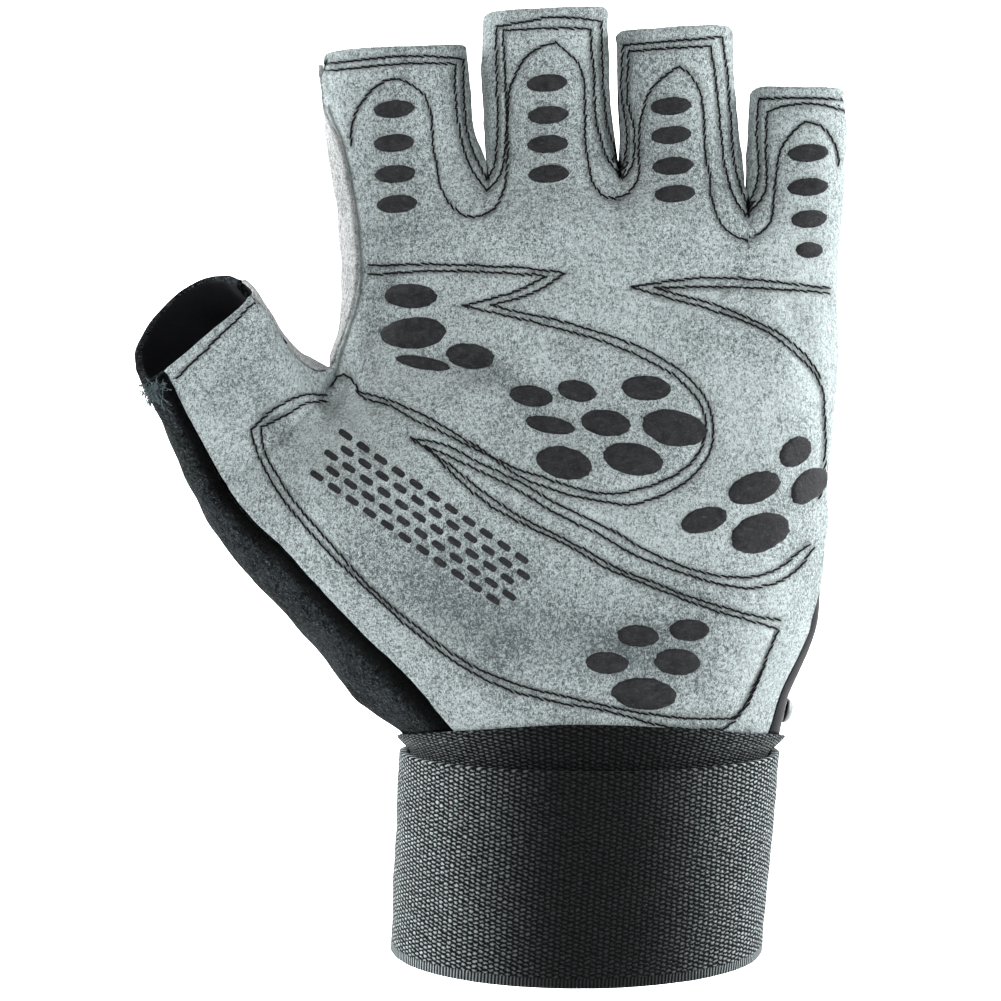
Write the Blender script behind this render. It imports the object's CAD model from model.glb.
# Looks of a left-hand half-finger training glove: brushed suede palm with sewn panels and
# raised rubber grip dots, stretch back, knit thumb gusset, elastic cuff and wrist wrap.
import math

import bpy
import numpy as np
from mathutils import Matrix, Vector
from mathutils.bvhtree import BVHTree


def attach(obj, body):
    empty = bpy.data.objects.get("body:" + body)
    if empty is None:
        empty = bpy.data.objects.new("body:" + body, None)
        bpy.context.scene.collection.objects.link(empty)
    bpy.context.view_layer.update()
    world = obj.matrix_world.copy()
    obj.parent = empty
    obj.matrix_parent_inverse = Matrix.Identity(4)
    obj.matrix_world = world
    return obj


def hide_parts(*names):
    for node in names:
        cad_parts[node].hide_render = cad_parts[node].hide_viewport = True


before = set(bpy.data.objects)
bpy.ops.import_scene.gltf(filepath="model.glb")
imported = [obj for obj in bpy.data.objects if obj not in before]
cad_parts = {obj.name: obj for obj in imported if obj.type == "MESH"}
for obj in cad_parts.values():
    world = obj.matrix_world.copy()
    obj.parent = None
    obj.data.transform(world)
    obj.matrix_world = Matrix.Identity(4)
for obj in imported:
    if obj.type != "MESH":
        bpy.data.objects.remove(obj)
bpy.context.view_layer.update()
rng = np.random.default_rng(11)
print("frame loaded")

# The chart of the front view: columns to the right, rows down, 0.2 mm a step in the
# plane of the side seams. It was seen from the eye point.
chart = {
    "step": 0.0002,
    "mouthCol": 576,
    "mouthRow": 945,
    "eyeCol": 500.5,
    "eyeRow": 500.5,
    "eyeDistance": 0.5,
}

# The glove's form on a filled hand, in metres
form = {
    "palmFront": 0.026,
    "palmBack": 0.021,
    "fingerDepth": 0.022,
    "thumbDepth": 0.026,
    "fingerCurl": 0.004,
    "seamGap": 0.0003,
    "stripGap": 0.0006,
    "sideDepth": 0.0026,
    "palmPower": 2.5,
    "fingerPower": 2.2,
    "thumbPower": (3.0, 2.2),
    "webRow": 378,
    "webBlend": 130,
    "webStand": 0.15,
    "crotchRow": (162, 162, 191),
    "crotchBlend": 80,
    "roundRow": 150,
    "roundEnd": 300,
    "hemRow": 735,
    "hemRise": 0.0028,
    "hemFade": 85,
    "frontEnd": 0.975,
    "backEnd": 0.985,
}

# Outlines as (row, column)
palmLeft = (
    (372, 322), (420, 268), (460, 232), (500, 215), (536, 220), (569, 245), (600, 273),
    (638, 309), (686, 347), (712, 372), (735, 403),
)
handRight = (
    (90, 843), (113, 845), (199, 841), (276, 837), (402, 834), (482, 827), (534, 824),
    (586, 819), (626, 815), (647, 808), (672, 797), (695, 787), (735, 778),
)
suedeRight = (
    (90, 843), (113, 845), (199, 841), (276, 837), (402, 834), (482, 827), (534, 824),
    (570, 820.5), (610, 804.6), (629, 799), (656, 787), (682, 775), (708, 767), (735, 759),
)
indexOuter = (
    (66, 322), (145, 327), (178, 332), (217, 338), (262, 341), (308, 341), (336, 337),
    (362, 330), (378, 331),
)
indexSeam = (
    (66, 324), (110, 330), (143, 343), (183, 352), (209, 357), (247, 361), (278, 362),
    (298, 360), (321, 353), (345, 345), (378, 334),
)
thumbLine = (
    (378, 331), (398, 341), (420, 352), (460, 377), (500, 404), (540, 432), (580, 458),
    (620, 482), (660, 505), (700, 519), (735, 530),
)
# Where two fingers part: (row, right side of the left one, left side of the right one)
fingerGaps = (
    ((15, 463, 484), (61, 468, 482), (93, 471, 483), (133, 475, 485), (162, 486, 486),
     (300, 492, 492), (450, 520, 520), (600, 560, 560), (735, 590, 590)),
    ((15, 606, 615), (50, 608, 616), (100, 610, 617), (140, 615, 619), (162, 618, 618),
     (300, 612, 612), (450, 618, 618), (600, 632, 632), (735, 650, 650)),
    ((40, 731, 750), (83, 734, 749), (130, 738, 747), (166, 742, 746), (191, 745, 745),
     (300, 735, 735), (450, 722, 722), (600, 712, 712), (735, 705, 705)),
)
# Fingers: top row at the left, top row at the right, share of the full depth
fingers = ((57, 48, 1.00), (17, 10, 1.00), (35, 31, 0.95), (90, 94, 0.80))
# The fingertips' upper edges: share of the width, row
tipEdges = (
    ((0.0, 64), (0.08, 57), (0.3, 51), (0.8, 47), (0.96, 47), (1.0, 50)),
    ((0.0, 26), (0.06, 17), (0.15, 14), (0.6, 10), (0.94, 9), (1.0, 16)),
    ((0.0, 38), (0.06, 34), (0.7, 27), (0.9, 29), (1.0, 40)),
    ((0.0, 97), (0.07, 91), (0.18, 89), (0.85, 90), (0.95, 93), (1.0, 103)),
)
# Fullness: row, share of palmFront, share of palmBack
fullness = (
    (162, 0.46, 0.56), (220, 0.56, 0.68), (300, 0.68, 0.80), (378, 0.80, 0.90), (450, 0.90, 0.97),
    (530, 0.98, 1.00), (610, 1.00, 1.02), (686, 0.96, 1.04), (735, 0.93, 1.10),
)
# Pads and hollows: column, row, reach across, reach up, height as a share of palmFront
swells = (
    (330, 500, 95, 110, 0.20), (735, 560, 80, 120, 0.10),
    (520, 420, 75, 60, -0.13), (640, 235, 170, 30, 0.06),
)
# The thumb's slanting sections: place, left column and row, right column and row, start of
# the suede, near and far stand, front and back fullness, tilt in degrees
thumbRows = (
    (0.00, 403, 735, 530, 735, 0.44, 0.00, 0.00, 0.70, 0.80, 0),
    (0.18, 347, 686, 508, 665, 0.45, 0.00, 0.00, 0.75, 0.80, 0),
    (0.38, 309, 638, 465, 592, 0.35, 0.00, 0.00, 0.80, 0.76, 0),
    (0.52, 273, 600, 430, 537, 0.33, 0.00, 0.00, 0.80, 0.72, 0),
    (0.66, 245, 569, 394, 486, 0.31, 0.02, 0.02, 0.76, 0.70, 4),
    (0.80, 220, 538, 362, 436, 0.26, 0.10, 0.05, 0.68, 0.68, 9),
    (0.90, 203, 509, 345, 405, 0.22, 0.20, 0.10, 0.62, 0.67, 14),
    (1.00, 190, 486, 331, 378, 0.20, 0.32, 0.15, 0.54, 0.67, 20),
    (1.25, 179, 463, 303, 356, 0.19, 0.55, 0.42, 0.42, 0.70, 25),
    (1.50, 169, 438, 285, 338, 0.18, 0.75, 0.66, 0.34, 0.74, 28),
    (1.75, 156, 413, 270, 314, 0.18, 0.93, 0.88, 0.26, 0.78, 30),
    (2.00, 141, 381, 253, 290, 0.19, 1.10, 1.08, 0.19, 0.82, 31),
)


def across(col):
    return (np.asarray(col, float) - chart["mouthCol"]) * chart["step"]


def up(row):
    return (chart["mouthRow"] - np.asarray(row, float)) * chart["step"]


def smoothRead(table, row, column=1):
    # a cubic between neighbouring points, each with the mean slope of its two sides
    rows = np.array([line[0] for line in table], float)
    values = np.array([line[column] for line in table], float)
    slopes = np.gradient(values, rows)
    row = np.clip(row, rows[0], rows[-1])
    at = np.clip(np.searchsorted(rows, row, side="right") - 1, 0, len(rows) - 2)
    span = rows[at + 1] - rows[at]
    t = (row - rows[at]) / span
    near = (2 * t**3 - 3 * t**2 + 1) * values[at] + (t**3 - 2 * t**2 + t) * span * slopes[at]
    far = (3 * t**2 - 2 * t**3) * values[at + 1] + (t**3 - t**2) * span * slopes[at + 1]
    return near + far


def ease(value):
    # 0 to 1 with level ends
    value = np.clip(value, 0, 1)
    return value * value * (3 - 2 * value)


def onChart(points):
    # the place of each point in the front view: the ray from the eye, met with the chart's plane
    closer = 1 + points[..., 1] / chart["eyeDistance"]
    eyeX, eyeZ = across(chart["eyeCol"]), up(chart["eyeRow"])
    x = eyeX + (points[..., 0] - eyeX) / closer
    z = eyeZ + (points[..., 2] - eyeZ) / closer
    return x / chart["step"] + chart["mouthCol"], chart["mouthRow"] - z / chart["step"]


def bow(share, power):
    # a superellipse over 0 to 1: nothing at its ends and 1 in the middle
    side = np.clip(np.abs(2 * np.clip(share, 0, 1) - 1), 0, 1)
    return (1 - side**power) ** (1 / power)


def palmDepth(x, z, side):
    # a superellipse across the hand, times the fullness at that row, plus round swells
    row = chart["mouthRow"] - z / chart["step"]
    col = chart["mouthCol"] + x / chart["step"]
    left = np.where(row < 372, smoothRead(indexOuter, row), smoothRead(palmLeft, row))
    profile = bow((col - left) / (smoothRead(handRight, row) - left), form["palmPower"])
    depth = smoothRead(fullness, row, 1 + side) * profile
    if side == 0:
        for swellCol, swellRow, wide, high, height in swells:
            away = ((col - swellCol) / wide) ** 2 + ((row - swellRow) / high) ** 2
            depth = depth + height * np.exp(-away) * profile
    return depth * (form["palmFront"], form["palmBack"])[side]


def parted(row, crotch, blend):
    # 1 above the crotch, and a quarter circle down to 0 below it
    below = np.clip((row - crotch) / blend, 0, 1)
    return 1 - np.sqrt(below * (2 - below))


def hemRise(y, row):
    fade = np.clip((row - form["hemRow"] + form["hemFade"]) / form["hemFade"], 0, 1) ** 1.5
    return form["hemRise"] * np.maximum(-y, 0) / form["palmFront"] * fade


def backShare(row):
    return np.interp(row, (579, 735), (0.0, 0.16))


# How fine the grids are: rows and columns of each strip
grids = {
    "palmStep": 3.4,
    "palmColumns": 44,
    "palmTipRows": 40,
    "backStep": 6.0,
    "backColumns": 22,
    "backTipRows": 18,
    "thumbColumns": 44,
    "thumbTipRows": 36,
    "knitColumns": 70,
}


def fingerGrid(number, side, rows, tipRows, columns):
    # rows by columns of one finger's strip, from the hem to the fingertip: the palm's own
    # depth below the crotch, a round sleeve above it, and a blend of both between
    fullShare = fingers[number][2]
    webRow, seamGap = form["webRow"], form["seamGap"]
    t = np.linspace(0, 1, columns + 1)[None, :]
    tops = np.interp(t, *zip(*tipEdges[number]))
    tip = np.linspace(0, 1, tipRows + 1)[1:, None]
    level = np.concatenate([np.repeat(rows[:, None], columns + 1, axis=1), rows[-1] + (tops - rows[-1]) * tip])
    middle = level.mean(axis=1, keepdims=True)
    if number == 0:
        left = np.where(middle <= webRow, smoothRead(indexOuter, middle), smoothRead(thumbLine, middle))
        leftParted = parted(middle, webRow, form["webBlend"])
        leftRound = np.clip(1 - (middle - webRow) / 60, 0, 1)
    else:
        left = smoothRead(fingerGaps[number - 1], middle, 2)
        leftParted = parted(middle, form["crotchRow"][number - 1], form["crotchBlend"])
        leftRound = np.clip(1 - (middle - form["crotchRow"][number - 1]) / 80, 0, 1)
    if number == 3:
        right = smoothRead(handRight, middle)
        rightParted = parted(middle, form["crotchRow"][2], form["crotchBlend"])
        rightRound = np.ones_like(middle)
        end = 1 - backShare(middle)
        if side == 0:
            end = (smoothRead(suedeRight, middle) - left) / (right - left)
            end = 1 - (1 - end) * ease((middle - 564) / 12)
    else:
        right = smoothRead(fingerGaps[number], middle, 1)
        rightParted = parted(middle, form["crotchRow"][number], form["crotchBlend"])
        rightRound = np.clip(1 - (middle - form["crotchRow"][number]) / 80, 0, 1)
        end = 1.0
    start = np.zeros_like(middle)
    if number == 0:
        seam = (smoothRead(indexSeam, middle) - left) / (right - left) if side == 0 else 0.06
        start = seam * np.clip(1 - (middle - webRow) / 20, 0, 1)
    cosine = 0.5 - 0.5 * np.cos(np.pi * t)
    place = t + (cosine - t) * (leftRound * (1 - t) + rightRound * t)
    share = start + (end - start) * place
    x, z = across(left + (right - left) * share), up(level)
    apart = leftParted + (rightParted - leftParted) * share
    inner = 1 - ease((level - form["roundRow"]) / (form["roundEnd"] - form["roundRow"]))
    core = (1 - (2 * share - 1) ** 2) * (middle < form["roundEnd"])
    apart = apart + (np.minimum(inner, apart) - apart) * core
    sleeve = 0.5 * form["fingerDepth"] * fullShare * bow(share, form["fingerPower"])
    if number == 0:
        sleeve = np.hypot(sleeve, form["sideDepth"] * (1 - share) ** 2)
    away = np.maximum((1 - apart) * palmDepth(x, z, side) + apart * sleeve, 0.5 * seamGap)
    lean = -form["fingerCurl"] * np.clip((z - up(300)) / (up(20) - up(300)), 0, 1.1) ** 2
    y = lean + (away if side else -away)
    if number == 0:
        forward = np.interp(middle, (300, webRow, webRow + form["webBlend"]), (0, 1, 0))
        y = y - form["webStand"] * form["thumbDepth"] * forward * apart * (1 - share)
    # the fingertips' heights were read from the front view
    tipShare = np.clip((rows[-1] - level) / (rows[-1] - tops), 0, 1)
    eyeZ = up(chart["eyeRow"])
    z = z + (z - eyeZ) * ((lean if side else y) / chart["eyeDistance"]) * tipShare
    return np.stack([x, y, z + hemRise(y, middle)], axis=-1)


def thumbPlaces(rows, tipRows):
    # the palm's shared rows below the web, then even steps out to the thumb's opening
    shared = rows[rows >= form["webRow"] - 1e-6]
    lower = [line for line in thumbRows if line[0] <= 1]
    low = np.interp(-shared, [-line[4] for line in lower], [line[0] for line in lower])
    places = np.concatenate([low, 1 + np.arange(1, tipRows + 1) / tipRows])
    return places[:, None], np.concatenate([shared, np.full(tipRows, np.nan)])[:, None]


def thumbGrid(places, rows, share, side):
    # a slanting section between two chart points, bowed forward or back and tilted, blended
    # into the palm's own depth below the thumb
    read = [smoothRead(thumbRows, places, column) for column in range(1, 11)]
    leftCol, leftRow, rightCol, rightRow, _, near, far, front, back, tilt = read
    depth = form["thumbDepth"]
    shared = ~np.isnan(rows)
    level = np.where(shared, rows, rightRow)
    rightCol = np.where(shared, smoothRead(thumbLine, level), rightCol)
    leftX, leftZ, rightX, rightZ = across(leftCol), up(leftRow), across(rightCol), up(level)
    mid = -depth * (near + (far - near) * share)
    x, z = leftX + (rightX - leftX) * share, leftZ + (rightZ - leftZ) * share
    parting = np.where(shared, parted(level, form["webRow"], form["webBlend"]), 1.0)
    leftApart = np.interp(places, (0.45, 0.9), (0, 1))
    apart = leftApart + (parting - leftApart) * share
    reach = depth * (back if side else front) * bow(share, form["thumbPower"][side])
    reach = np.where(places > 0.9, np.hypot(reach, form["sideDepth"] * share**2), reach)
    tilt = np.radians(tilt)
    length = np.hypot(rightX - leftX, rightZ - leftZ)
    leanX = -(rightZ - leftZ) / length * np.sin(tilt)
    leanZ = (rightX - leftX) / length * np.sin(tilt)
    toward = reach if side else -reach
    closer = 1 + mid * apart / chart["eyeDistance"]
    eyeX, eyeZ = across(chart["eyeCol"]), up(chart["eyeRow"])
    x, z = eyeX + (x - eyeX) * closer, eyeZ + (z - eyeZ) * closer
    plain = (1 if side else -1) * palmDepth(x, z, side)
    y = (1 - apart) * plain + apart * (mid + toward * np.cos(tilt))
    y = y + np.where(np.abs(toward) < 1e-6, (0.5 if side else -0.5) * form["seamGap"], 0)
    z = z + hemRise(y, level)
    return np.stack([x + leanX * toward * apart, y, z + leanZ * toward * apart], axis=-1)


def meet(grid, target, rows):
    # each section's last point goes to the target and the others move less, by the square
    share = np.linspace(0, 1, grid.shape[1])[None, :, None] ** 2
    shared = (~np.isnan(rows))[:, :, None]
    full = np.zeros((len(grid), 1, 3))
    count = int(shared.sum())
    full[:count] = target[:count, None] - grid[:count, -1:]
    return grid + full * share * shared


def weld(pieces, flip=False):
    # joins grids that share borders; hems are the lowest rows and tops the highest ones
    points, faces, tops, first = [], [], [], 0
    for piece in pieces:
        rows, columns = piece.shape[:2]
        index = first + np.arange(rows * columns).reshape(rows, columns)
        square = np.stack([index[:-1, :-1], index[:-1, 1:], index[1:, 1:], index[1:, :-1]], axis=-1)
        faces.append(square.reshape(-1, 4)[:, ::-1] if flip else square.reshape(-1, 4))
        points.append(piece.reshape(-1, 3))
        tops.append(np.arange(rows * columns) >= (rows - 1) * columns)
        first += rows * columns
    points, faces, tops = np.concatenate(points), np.concatenate(faces), np.concatenate(tops)
    _, chosen, index = np.unique(np.round(points, 6), axis=0, return_index=True, return_inverse=True)
    index = index.reshape(-1)
    return points[chosen], index[faces], tops[chosen]


def relax(points, faces, weight, rounds):
    # each point moves part of the way to the middle of its neighbours, a border point only
    # to its neighbours on the border
    count = len(points)
    ends = np.concatenate([faces[:, [k, (k + 1) % 4]] for k in range(4)])
    ends = ends[ends[:, 0] != ends[:, 1]]
    _, first, times = np.unique(np.sort(ends, axis=1) @ np.array([count, 1]), return_index=True, return_counts=True)
    every, border = ends[first], np.zeros(count, bool)
    border[every[times == 1]] = True
    every = every[(times == 1) | ~(border[every[:, 0]] | border[every[:, 1]])]
    inner = ends[first][(times == 2) & (border[ends[first][:, 0]] | border[ends[first][:, 1]])]
    here = np.concatenate([every[:, 0], every[:, 1], inner[~border[inner[:, 0]]][:, 0], inner[~border[inner[:, 1]]][:, 1]])
    there = np.concatenate([every[:, 1], every[:, 0], inner[~border[inner[:, 0]]][:, 1], inner[~border[inner[:, 1]]][:, 0]])
    total = np.maximum(np.bincount(here, minlength=count), 1)[:, None]
    for _ in range(rounds):
        mean = np.stack([np.bincount(here, points[there, k], count) for k in range(3)], axis=-1) / total
        points = points + 0.6 * weight[:, None] * (mean - points)
    return points


def pointNormals(points, faces):
    # the sum of the crossed diagonals of the faces round each point
    turned = np.cross(points[faces[:, 2]] - points[faces[:, 0]], points[faces[:, 3]] - points[faces[:, 1]])
    normals = np.zeros_like(points)
    for corner in range(4):
        np.add.at(normals, faces[:, corner], turned)
    return normals / np.maximum(np.linalg.norm(normals, axis=1, keepdims=True), 1e-12)


def makeMesh(name, points, faces, slots=None):
    mesh = bpy.data.meshes.new(name)
    mesh.from_pydata(points.tolist(), [], [list(face) for face in faces])
    if slots is not None:
        mesh.polygons.foreach_set("material_index", slots)
    mesh.shade_smooth()
    return mesh


def clothMesh(name, points, faces, tops, wall, bead):
    # a wall of cloth: the face, the same face moved inwards along its normals, and a rim
    # between them that is rounded out by the bead at the free edges; it thins at the web
    normals = pointNormals(points, faces)
    fromWeb = np.linalg.norm(points - (across(333), -0.010, up(392)), axis=1)
    wall = wall * np.clip(fromWeb / 0.010, 0.15, 1)[:, None]
    inward = normals.copy()
    lean = -form["fingerCurl"] * np.clip((points[:, 2] - up(300)) / (up(20) - up(300)), 0, 1.1) ** 2
    inward[np.abs(points[:, 1] - lean) < 0.7 * form["seamGap"], 1] = 0
    inward[points[:, 2] < points[:, 2].min() + 0.0035, 2] *= 0.2
    inward /= np.maximum(np.linalg.norm(inward, axis=1, keepdims=True), 1e-9)
    count = len(points)
    ends = np.concatenate([faces[:, [k, (k + 1) % 4]] for k in range(4)])
    ends = ends[ends[:, 0] != ends[:, 1]]
    key = np.sort(ends, axis=1) @ np.array([count, 1])
    _, first, times = np.unique(key, return_index=True, return_counts=True)
    edges = ends[first[times == 1]]
    rimPoints = np.unique(edges)
    place = np.full(count, -1)
    place[rimPoints] = 2 * count + np.arange(len(rimPoints))
    out = np.zeros_like(points)
    turned = np.cross(points[edges[:, 1]] - points[edges[:, 0]], normals[edges[:, 0]])
    for end in (0, 1):
        np.add.at(out, edges[:, end], turned)
    out /= np.maximum(np.linalg.norm(out, axis=1, keepdims=True), 1e-12)
    rim = (points - 0.5 * wall * inward + (bead * tops)[:, None] * out)[rimPoints]
    near, far = edges[:, 0], edges[:, 1]
    every = np.concatenate([
        faces,
        faces[:, ::-1] + count,
        np.stack([far, near, place[near], place[far]], axis=-1),
        np.stack([place[far], place[near], near + count, far + count], axis=-1),
    ])
    slots = np.zeros(len(every), np.int32)
    slots[len(faces):2 * len(faces)] = 1
    return makeMesh(name, np.concatenate([points, points - wall * inward, rim]), every, slots)


def dress(name, mesh, finishes, nodes=(), body="root"):
    # puts a mesh in the scene as a piece that rides on the glove
    for finish in finishes:
        mesh.materials.append(finish)
    piece = bpy.data.objects.new(name, mesh)
    bpy.context.scene.collection.objects.link(piece)
    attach(piece, body)
    if nodes:
        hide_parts(*nodes)
    return piece


# Shader maths: a Wire is a socket that Python's operators work on
class Wire:
    def __init__(self, paint, socket):
        self.paint, self.socket = paint, socket

    def maths(self, operation, *others):
        values = {place: value for place, value in enumerate(others)}
        return self.paint.add("Math", {"operation": operation}, values)

    def __add__(self, other):
        return self.maths("ADD", self, other)

    def __radd__(self, other):
        return self.maths("ADD", other, self)

    def __sub__(self, other):
        return self.maths("SUBTRACT", self, other)

    def __rsub__(self, other):
        return self.maths("SUBTRACT", other, self)

    def __mul__(self, other):
        return self.maths("MULTIPLY", self, other)

    def __rmul__(self, other):
        return self.maths("MULTIPLY", other, self)

    def __truediv__(self, other):
        return self.maths("DIVIDE", self, other)

    def __pow__(self, other):
        return self.maths("POWER", self, other)


class Paint:
    def __init__(self, name, **constants):
        self.material = bpy.data.materials.new(name)
        self.material.use_nodes = True
        self.tree = self.material.node_tree
        self.shader = self.tree.nodes["Principled BSDF"]
        for socket, value in constants.items():
            words = "".join(" " + letter if letter.isupper() else letter for letter in socket)
            words = words.title().replace("Ior", "IOR")
            self.shader.inputs[words].default_value = value

    def add(self, kind, settings, values, out=0):
        node = self.tree.nodes.new("ShaderNode" + kind)
        for setting, value in settings.items():
            if setting == "stops":
                while len(node.color_ramp.elements) < len(value):
                    node.color_ramp.elements.new(0.5)
                for element, (place, shade) in zip(node.color_ramp.elements, value):
                    element.position = place
                    element.color = (*shade, 1) if hasattr(shade, "__len__") else (shade, shade, shade, 1)
            else:
                setattr(node, setting, value)
        for socket, value in values.items():
            self.join(node.inputs[socket], value)
        return Wire(self, node.outputs[out])

    def join(self, socket, value):
        if isinstance(value, Wire):
            self.tree.links.new(value.socket, socket)
        elif hasattr(value, "__len__") and len(value) == 3 and socket.type == "RGBA":
            socket.default_value = (*value, 1)
        else:
            socket.default_value = value

    def place(self, scale=(1, 1, 1), turn=(0, 0, 0)):
        coords = self.add("TexCoord", {}, {}, "Object")
        return self.add("Mapping", {}, {"Vector": coords, "Scale": scale, "Rotation": turn})

    def noise(self, vector, scale, detail=2.0, rough=0.5, distort=0.0):
        values = {"Vector": vector, "Scale": scale, "Detail": detail, "Roughness": rough, "Distortion": distort}
        return self.add("TexNoise", {}, values)

    def span(self, value, low, high, toLow=0.0, toHigh=1.0):
        values = {"Value": value, "From Min": low, "From Max": high, "To Min": toLow, "To Max": toHigh}
        return self.add("MapRange", {"clamp": True}, values)

    def mix(self, factor, one, other):
        values = {0: factor, 6: one, 7: other}
        return self.add("Mix", {"data_type": "RGBA"}, values, 2)

    def own(self, name, out="Fac"):
        return self.add("Attribute", {"attribute_name": name}, {}, out)

    def finish(self, colour, roughness=None, height=None, strength=0.5, distance=0.0003):
        self.join(self.shader.inputs["Base Color"], colour)
        if roughness is not None:
            self.join(self.shader.inputs["Roughness"], roughness)
        if height is not None:
            bump = self.add("Bump", {}, {"Height": height, "Strength": strength, "Distance": distance})
            self.join(self.shader.inputs["Normal"], bump)
        return self.material


def suedePaint(name, dark, light):
    # brushed nap: short curled fibres over clumps, with broad strokes where it was brushed
    paint = Paint(name, specularIorLevel=0.15, sheenWeight=0.2, sheenRoughness=0.5)
    spot = paint.place()
    clump = paint.noise(spot, 1500, 2, 0.6, 0.7)
    fibre = paint.noise(paint.place((1, 1, 0.42), (0, 0.75, 0)), 3400, 3, 0.7, 1.8)
    cross = paint.noise(paint.place((0.5, 1, 1), (0, 0.35, 0)), 2900, 3, 0.65, 1.4)
    stroke = paint.noise(spot, 60, 3, 0.6, 0.5)
    height = 0.5 * clump + 1.1 * fibre + 0.5 * cross
    tone = paint.span(height + 0.25 * stroke, 1.03, 1.27) + 0.9 * paint.own("nap")
    tone = paint.span(tone, 0.0, 1.0)
    colour = paint.mix(tone, dark, light)
    colour = paint.mix(paint.own("shade"), colour, [0.2 * value for value in dark])
    rough = paint.span(clump, 0.3, 0.7, 0.86, 1.0)
    return paint.finish(colour, rough, height, 1.0, 0.0014)


def liningPaint():
    # the plain black inside of the cloth
    paint = Paint("liningCloth", specularIorLevel=0.12)
    weave = paint.noise(paint.place(), 2600, 2, 0.6)
    colour = paint.mix(weave, (0.003, 0.003, 0.004), (0.010, 0.011, 0.013))
    return paint.finish(colour, 0.95, weave, 0.3, 0.0002)


def stretchPaint():
    # a fine warp knit: rows of small slanted loops on the back of the hand
    paint = Paint("stretchKnit", specularIorLevel=0.08, sheenWeight=0.03, sheenRoughness=0.35)
    split = paint.add("SeparateXYZ", {}, {0: paint.place()}, 0)
    high = Wire(paint, split.socket.node.outputs[2])
    wale = (split / 0.00085).maths("FRACT", split / 0.00085) - 0.5
    course = high / 0.00075 + wale.maths("ABSOLUTE", wale) * 0.9
    loop = course.maths("FRACT", course) - 0.5
    body = (1 - wale * wale * 3.2) * (1 - loop * loop * 3.4)
    fuzz = paint.noise(paint.place(), 1900, 3, 0.65)
    tone = paint.span(body * 0.75 + fuzz * 0.5, 0.25, 1.1)
    colour = paint.mix(tone, (0.0025, 0.0028, 0.0036), (0.034, 0.038, 0.045))
    return paint.finish(colour, paint.span(fuzz, 0.3, 0.7, 0.55, 0.8), body + 0.3 * fuzz, 0.6, 0.0003)


def knitPaint():
    # napped knit: uneven tufts about 0.8 mm across with pale fibre ends, black in the hollows
    paint = Paint("nappedKnit", specularIorLevel=0.03, sheenWeight=0.0)
    spot = paint.place()
    tuft = paint.noise(spot, 950, 2, 0.6, 0.8)
    fuzz = paint.noise(spot, 2300, 4, 0.7, 1.0)
    broad = paint.noise(spot, 110, 2, 0.5)
    lift = 1.1 * tuft + 1.0 * fuzz
    tone = paint.span(lift + 0.4 * broad, 1.05, 1.50)
    colour = paint.mix(tone, (0.0010, 0.0013, 0.0016), (0.038, 0.047, 0.052))
    speck = paint.span(fuzz, 0.56, 0.66)
    colour = paint.mix(speck * 0.7, colour, (0.17, 0.195, 0.20))
    colour = paint.mix(paint.own("shade"), colour, (0.0012, 0.0013, 0.0015))
    return paint.finish(colour, 0.97, lift, 1.0, 0.0012)


def yarnPaint():
    # frayed ends of blue-grey yarn
    paint = Paint("frayedYarn", specularIorLevel=0.15, sheenWeight=0.3, sheenRoughness=0.4)
    strand = paint.noise(paint.place(), 1500, 2, 0.6)
    colour = paint.mix(paint.span(strand, 0.35, 0.65), (0.005, 0.010, 0.013), (0.085, 0.125, 0.135))
    return paint.finish(colour, 0.9, strand, 0.4, 0.0001)


def twillPaint():
    # fine diagonal ribs
    paint = Paint("fineTwill", specularIorLevel=0.02, sheenWeight=0.0)
    split = paint.add("SeparateXYZ", {}, {0: paint.place()}, 1)
    high = Wire(paint, split.socket.node.outputs[2])
    run = (split + high * 0.8) / 0.00042
    rib = run.maths("SINE", run * 6.28318) * 0.5 + 0.5
    soft = paint.noise(paint.place(), 900, 3, 0.6)
    colour = paint.mix(rib * 0.6 + soft * 0.4, (0.0012, 0.0014, 0.0022), (0.005, 0.006, 0.009))
    return paint.finish(colour, 0.5, rib + 0.3 * soft, 0.35, 0.00012)


def elasticPaint(name, selvage):
    # covered elastic: upright columns 1.15 mm apart of rounded grains, 0.80 mm down the column
    # and leaning a little, every second column half a step off; flat ribs in the selvages
    paint = Paint(name, specularIorLevel=0.07, sheenWeight=0.03, sheenRoughness=0.3)
    uv = paint.add("UVMap", {"uv_map": "weave"}, {})
    split = paint.add("SeparateXYZ", {}, {0: uv}, 0)
    high = Wire(paint, split.socket.node.outputs[1])
    wobble = paint.noise(uv, 1.1, 2, 0.5) - 0.5
    column = split / 1.15 + wobble * 0.5
    cell = column.maths("FLOOR", column)
    side = column - cell - 0.5
    odd = cell.maths("FRACT", cell * 0.5)
    course = high / 0.80 + side * 0.2 + odd + wobble * 1.1
    step = course.maths("FRACT", course) - 0.5
    grain = 1 - (side * side * 2.6 + step * step * 6.5)
    grain = grain.maths("MAXIMUM", grain, 0.0)
    rib = (split / 0.7).maths("SINE", split / 0.7 * 6.28318) * 0.5 + 0.5
    edge = paint.add("ValToRGB", {"stops": selvage}, {0: high / 45.0})
    fuzz = paint.noise(uv, 3.5, 3, 0.7)
    lift = grain + (rib - grain) * edge
    tone = paint.span(lift * (0.25 + fuzz * 1.5), 0.30, 0.90)
    pale = paint.mix(paint.own("shade"), (0.46, 0.53, 0.55), (0.0045, 0.005, 0.0055))
    colour = paint.mix(tone, (0.0012, 0.0014, 0.0016), pale)
    return paint.finish(colour, paint.span(fuzz, 0.3, 0.7, 0.6, 0.9), lift + 0.2 * fuzz, 1.0, 0.0011)


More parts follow.
